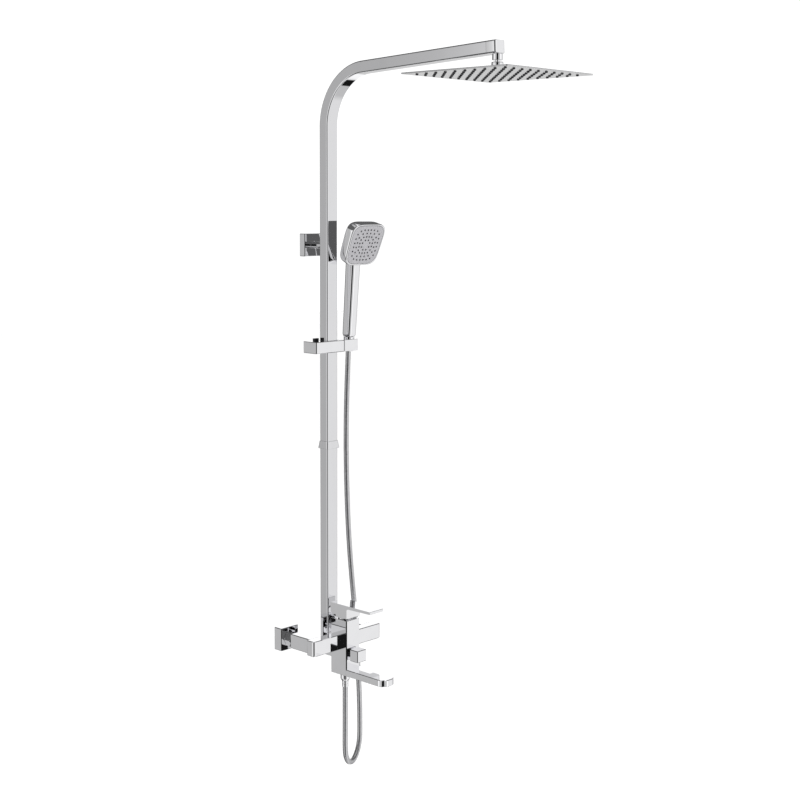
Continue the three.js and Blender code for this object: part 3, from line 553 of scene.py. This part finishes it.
add_piece("diverter_bush", "column", BLACK_PLASTIC, ["diverter_gland"],
          moved(lathe([(4.3, 112.6), (8.7, 112.6), (8.7, 134.6), (8.2, 134.8), (8.2, 136.8),
                       (4.3, 136.8)], 0.3),
                facing_out(0, -26.2)))
add_piece("diverter_square_knob", "diverter", CHROME, ["diverter_knob"],
          moved(chain(block(26, 24.8, 137.7, 159.8, 1.4, 1.1, 0.6, 1, 1)), facing_out(0, -26.2)))


# ---------------------------------------------------------------- slider, button and holder
S0, S1 = 600.6, 624.6


def prism(x0, x1, out0, out1, z0, z1, corner=0.1):
    width, depth = x1 - x0, out1 - out0
    outline = ring_of(width, depth, corner, 4)
    shape = chain([[(x, y, z) for x, y in outline] for z in (z0, z1)])
    return moved(shape, at((x0 + x1) / 2, (out0 + out1) / 2))


slider_block = moved(chain(block(79.7, 39.6, S0, S1, 1.3, 1.1, None, 1, 1)), at(-13.15, 61.2))
add_piece("slider_block", "slider", CHROME, ["slider_body"], carved(
    slider_block,
    prism(-16.9, 16.9, TUBE_OUT - 14.1, TUBE_OUT + 14.1, S0 - 1, S1 + 1, 5.5),
    prism(-29.4, -15, 43.6, 49.4, S0 + 9, S1 + 1, 0.6),
))
liner = []
LINER_ENDS = (S0 + 0.3, S1 - 0.3)
for z, add, corner in ((LINER_ENDS[0], 3.7, 5.3), (LINER_ENDS[1], 3.7, 5.3), (LINER_ENDS[1], 0.6, 3.3),
                       (LINER_ENDS[0], 0.6, 3.3)):
    liner.append([(x, y, z) for x, y in ring_of(TUBE_WIDTH + add, TUBE_DEPTH + add, corner, 8)])
add_piece("slider_sleeve", "slider", BLACK_PLASTIC, ["slider_liner"],
          moved(chain(liner, loop=True), at(0, TUBE_OUT)))
add_piece("release_key", "release_button", BLACK_PLASTIC, ["slider_button"],
          moved(chain(block(13.4, 5.2, S0 + 12.5, S1 + 4.5, 1, 0.8)), at(-22.3, 46.5)))

HAND_LEAN = math.radians(4.4)
HAND_FRAME = Matrix.Translation((52.5, -67, 612.6)) @ Matrix.Rotation(HAND_LEAN, 4, "X")


def solid_cone(profile, sides=64):
    return chain([circle(r, z, sides) for r, z in profile])


add_piece("hand_shower_holder", "holder", CHROME, ["hand_holder"], carved(
    moved(chain(block(39.2, 39.6, S0, S1, 1.6, 0.7)), at(46.9, 61.2)),
    moved(solid_cone([(9.4, -20), (11.85, 18)]), HAND_FRAME),
    prism(52.5, 70, 59.6, 73.8, S0 - 1, S1 + 1),
))
add_piece("hose_cone", "hand_shower", CHROME, ["hose_cone_nut"],
          moved(lathe([(3.6, -13.4), (9.3, -13.4), (11.3, 17.4), (8.4, 17.4), (8.4, 4), (3.6, 4)], 0.5),
                HAND_FRAME))


# ---------------------------------------------------------------- hand shower
FACE_TILT = math.radians(22)
face_frame = Matrix((
    (1, 0, 0, 52.5),
    (0, -math.sin(FACE_TILT), -math.cos(FACE_TILT), -116.2),
    (0, math.cos(FACE_TILT), -math.sin(FACE_TILT), 821.2),
    (0, 0, 0, 1),
))


def face_outline(width, height, steps=96):
    """A square with full sides, a little wider at the top."""
    points = []
    for i in range(steps):
        angle = 2 * math.pi * i / steps
        c, s = math.cos(angle), math.sin(angle)
        reach = (abs(c) ** 4.6 + abs(s) ** 4.6) ** (-1 / 4.6)
        y = reach * s * height / 2
        points.append((reach * c * width / 2 * (1 + 0.08 * y / height), y))
    return points


def face_skin(levels):
    """A skin over face outlines given as (width, height, place in front of the face)."""
    return moved(chain([[(x, y, z) for x, y in face_outline(w, h)] for w, h, z in levels]), face_frame)


shell_levels = [(70, 70, -6), (86.6, 84.6, -2.5), (86.6, 84.6, -0.6), (87.6, 85.6, 0.1), (90, 88, 0.5),
                (92.8, 90.2, 0), (94.6, 91.6, -1.4), (95, 92, -3.2)]
for i in range(1, 15):
    deep = i / 14
    scale = math.sqrt(1 - 0.2 * deep ** 3)
    shell_levels.append((95 * scale, 92 * scale, -3.2 - 19.4 * math.sin(deep * math.pi / 2) ** 1.15))
shell_levels += [(60, 58, -23.4), (40, 38, -24)]

grip_rings = []
grip_levels = [(18.2, 20.5), (19, 21.6), (21, 23), (24, 23.6)]
grip_levels += [(24 + 142 * i / 12, 23.6 + 2.4 * i / 12) for i in range(1, 13)]
for height, size in grip_levels:
    outline = ring_of(size, size, size * 0.3, 8)
    grip_rings.append([tuple(HAND_FRAME @ Vector((x, y, height))) for x, y in outline])
for i in range(1, 10):
    share = i / 9
    rise = 166 + 46 * share
    centre = HAND_FRAME @ Vector((0, -9 * share ** 1.6, rise))
    tilt = Matrix.Rotation(HAND_LEAN + (FACE_TILT - HAND_LEAN) * share, 3, "X")
    width, depth = 26 + 16 * share ** 1.4, 26 - 10 * share ** 1.3
    outline = ring_of(width, depth, 7 + share, 8)
    grip_rings.append([tuple(centre + tilt @ Vector((x, y, 0))) for x, y in outline])
add_piece("hand_shower_body", "hand_shower", CHROME, ["hand_shell"],
          face_skin(shell_levels), chain(grip_rings), sharp=60, weighted=False)
add_piece("hand_spray_face", "hand_shower", FACE_GREY, ["hand_face"],
          face_skin([(82, 80, -2.2), (86, 84, -2.2), (86, 84, -0.4), (85.4, 83.4, 0.15),
                     (84.4, 82.4, 0.4), (60, 58, 0.5)]))


def nozzles(places, profile, frame_matrix, sides=16):
    """Small turned nozzles at (x, y) places."""
    shells = []
    for x, y in places:
        rings = [circle(r, z, sides, x, y) for r, z in profile]
        shells.append(moved(chain(rings), frame_matrix))
    return shells


hand_places = []
for ring, count in ((10.5, 8), (18, 16), (25.5, 16), (33, 24)):
    for i in range(count):
        angle = (i + 0.5) / count * 2 * math.pi
        c, s = math.cos(angle), math.sin(angle)
        reach = ring / (abs(c) ** 4 + abs(s) ** 4) ** 0.25
        hand_places.append((reach * c, reach * s))
add_piece("hand_spray_nozzles", "hand_shower", NOZZLE_GREY, ["hand_nozzle_mat"],
          *nozzles(hand_places, [(1.2, -1.5), (1.9, 0.3), (1.9, 0.6), (1.5, 0.8), (1.2, 1.3), (0.9, 1.4)],
                   face_frame),
          sharp=50)


# ---------------------------------------------------------------- rain head
add_piece("swivel_ball", "ball", CHROME, ["ball_stem"],
          moved(lathe([(2.2, 1147)] + [(7.5 * math.cos(a), 1154 + 7.5 * math.sin(a))
                                       for a in [-1.2 + 2.15 * i / 14 for i in range(15)]]
                      + [(4.3, 1163), (4.6, 1165), (4.6, 1176), (2.2, 1176)], 0.2), at(0, HEAD_OUT)))
add_piece("ball_cup", "rain_head", ACETAL, ["ball_seat"],
          moved(lathe([(5.9, 1147.2), (9.2, 1147.2), (9.2, 1155), (7.9, 1155), (7.85, 1153), (7.3, 1150.6),
                       (5.9, 1148.2)], 0.2), at(0, HEAD_OUT)))
add_piece("ball_ring_nut", "rain_head", CHROME, ["ball_nut"],
          moved(lathe([(9.5, 1146.9), (11, 1146.9), (11.2, 1148), (11.2, 1161), (10.6, 1162.2),
                       (8.6, 1162.2), (7.1, 1158), (8.1, 1155.6), (9.5, 1155.3)], 0.5, 64), at(0, HEAD_OUT)))
add_piece("rain_head_cover", "rain_head", CHROME, ["head_cover"],
          moved(chain(block(250, 250, 1141.4, 1142.2, 4, 0.35, 0.1)), at(0, HEAD_OUT)),
          moved(lathe([(5, 1141.8), (18, 1141.8), (17.4, 1143.8), (12.4, 1144.2), (11.8, 1145),
                       (10.4, 1146.5), (5, 1146.5)], 0.6, 72), at(0, HEAD_OUT)))
add_piece("rain_head_spray_plate", "rain_head", PLATE_STEEL, ["head_spray_plate"],
          moved(chain(block(250, 250, 1139.4, 1141.1, 4, 0.1, 0.5)), at(0, HEAD_OUT)))
head_places = [((i - 4.5) * 23, (j - 4.5) * 23) for i in range(10) for j in range(10)]
add_piece("rain_head_nozzles", "rain_head", SILICONE, ["head_nozzle_mat"],
          *nozzles(head_places, [(2.4, 1140), (3.0, 1139.45), (3.0, 1139.1), (2.6, 1138.9), (2.1, 1137.6),
                                 (1.6, 1137.4)], at(0, HEAD_OUT)), sharp=50)


# ---------------------------------------------------------------- carried-over CAD nodes
CARRIED = {
    "bracket_base": SCREW_STEEL, "bracket_screw_upper": SCREW_STEEL, "bracket_screw_lower": SCREW_STEEL,
    "bracket_pillar_nut": BRASS, "riser_coupling": BRASS, "cartridge": ACETAL, "cartridge_nut": BRASS,
    "lever_carrier": ACETAL, "lever_pin": SCREW_STEEL, "lever_stem": BRASS, "lever_screw": SCREW_STEEL,
    "diverter_spindle": BRASS, "outlet_nipple": BRASS, "slider_brake_shoe": ACETAL,
}
for node, material in CARRIED.items():
    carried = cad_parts[node]
    carried.data.materials.clear()
    carried.data.materials.append(material)


# ---------------------------------------------------------------- floor and studio
def add_floor():
    bm = bmesh.new()
    bmesh.ops.create_grid(bm, x_segments=1, y_segments=1, size=14)
    floor = as_object(moved(bm, Matrix.Translation((0, 0, cad_low.z - 0.45))), "floor")
    pale = add_material("pale_floor", (0.97, 0.97, 0.97), 0, (0.7, 0.8), grain=2, shade=0.003, bump=0.0)
    floor.data.materials.append(pale)
    floor.visible_glossy = False


def add_light(name, place_m, aim, size, power):
    data = bpy.data.lights.new(name, "AREA")
    data.shape = "SQUARE"
    data.size = size
    data.energy = power
    light = bpy.data.objects.new(name, data)
    bpy.context.scene.collection.objects.link(light)
    light.location = place_m
    light.rotation_euler = (Vector(aim) - Vector(place_m)).to_track_quat("-Z", "Y").to_euler()
    light.visible_camera = False
    light.visible_glossy = False


# the sky's own brightness, and the azimuth behind the camera
EVERYWHERE = 1.12
BEHIND = -136.5


class StudioSky:
    """Builds the studio's brightness as a function of direction, with soft-edged cards."""

    def __init__(self):
        world = bpy.data.worlds.new("studio")
        world.use_nodes = True
        bpy.context.scene.world = world
        self.nodes, self.links = world.node_tree.nodes, world.node_tree.links
        self.nodes.clear()
        where = self.nodes.new("ShaderNodeTexCoord")
        split = self.nodes.new("ShaderNodeSeparateXYZ")
        self.direction = where.outputs["Generated"]
        self.links.new(self.direction, split.inputs["Vector"])
        self.rise = split.outputs["Z"]
        flat = self.nodes.new("ShaderNodeVectorMath")
        flat.operation = "MULTIPLY"
        flat.inputs[1].default_value = (1, 1, 0)
        self.links.new(self.direction, flat.inputs[0])
        level = self.nodes.new("ShaderNodeVectorMath")
        level.operation = "NORMALIZE"
        self.links.new(flat.outputs["Vector"], level.inputs[0])
        self.level = level.outputs["Vector"]
        self.value = EVERYWHERE

    def math(self, operation, a, b=0.0):
        node = self.nodes.new("ShaderNodeMath")
        node.operation = operation
        for socket, item in zip(node.inputs, (a, b)):
            if isinstance(item, (int, float)):
                socket.default_value = item
            else:
                self.links.new(item, socket)
        return node.outputs["Value"]

    def step(self, item, low, high):
        node = self.nodes.new("ShaderNodeMapRange")
        node.interpolation_type = "SMOOTHSTEP"
        node.inputs["From Min"].default_value = low
        node.inputs["From Max"].default_value = high
        self.links.new(item, node.inputs["Value"])
        return node.outputs["Result"]

    def near(self, azimuth, half, soft):
        """1 within half degrees of an azimuth, seen from above, falling to 0 over soft degrees."""
        node = self.nodes.new("ShaderNodeVectorMath")
        node.operation = "DOT_PRODUCT"
        angle = math.radians(azimuth)
        node.inputs[1].default_value = (math.cos(angle), math.sin(angle), 0)
        self.links.new(self.level, node.inputs[0])
        inner, outer = math.cos(math.radians(half)), math.cos(math.radians(half + soft))
        return self.step(node.outputs["Value"], outer, inner)

    def between(self, low, high, soft):
        """1 where the direction's height is between low and high."""
        rising = self.step(self.rise, low - soft, low)
        falling = self.math("SUBTRACT", 1.0, self.step(self.rise, high, high + soft))
        return self.math("MULTIPLY", rising, falling)

    def paint(self, mask, shade):
        mixed = self.nodes.new("ShaderNodeMix")
        mixed.data_type = "FLOAT"
        self.links.new(mask, mixed.inputs["Factor"])
        if isinstance(self.value, float):
            mixed.inputs["A"].default_value = self.value
        else:
            self.links.new(self.value, mixed.inputs["A"])
        mixed.inputs["B"].default_value = shade
        self.value = mixed.outputs["Result"]

    def finish(self):
        """Shiny surfaces see the cards; the backdrop and matt surfaces see plain white."""
        path = self.nodes.new("ShaderNodeLightPath")
        shiny = self.nodes.new("ShaderNodeMix")
        shiny.data_type = "FLOAT"
        self.links.new(path.outputs["Is Glossy Ray"], shiny.inputs["Factor"])
        shiny.inputs["A"].default_value = EVERYWHERE
        self.links.new(self.value, shiny.inputs["B"])
        background = self.nodes.new("ShaderNodeBackground")
        background.inputs["Color"].default_value = (1, 1, 1, 1)
        output = self.nodes.new("ShaderNodeOutputWorld")
        self.links.new(shiny.outputs["Result"], background.inputs["Strength"])
        self.links.new(background.outputs["Background"], output.inputs["Surface"])


add_floor()
add_light("overhead_softbox", (-0.8, -1.6, 1.8), (0, -0.25, -0.3), 2.0, 8)
sky = StudioSky()
lower_back = sky.math("MULTIPLY", sky.between(-0.78, -0.46, 0.06), sky.near(105, 48, 10))
far_low = sky.math("MULTIPLY", sky.between(-0.32, -0.01, 0.05), sky.near(43, 30, 12))
bend_patch = sky.math("MULTIPLY", sky.between(-0.72, -0.50, 0.03), sky.near(16, 8, 3))
sky.paint(sky.near(BEHIND + 93, 14, 10), 0.88)
sky.paint(sky.near(130, 5, 10), 0.50)
sky.paint(far_low, 0.68)
sky.paint(sky.near(86, 26, 10), 0.16)
sky.paint(sky.near(-106, 14, 12), 0.58)
sky.paint(sky.near(0, 20, 12), 0.62)
sky.paint(sky.near(180, 14, 10), 0.62)
sky.paint(sky.near(BEHIND - 6, 17, 5), 0.01)
sky.paint(sky.between(0.37, 0.84, 0.05), 0.12)
sky.paint(lower_back, 0.10)
sky.paint(bend_patch, 0.01)
sky.finish()

scene = bpy.context.scene
scene.view_settings.view_transform = "Standard"
scene.view_settings.look = "None"
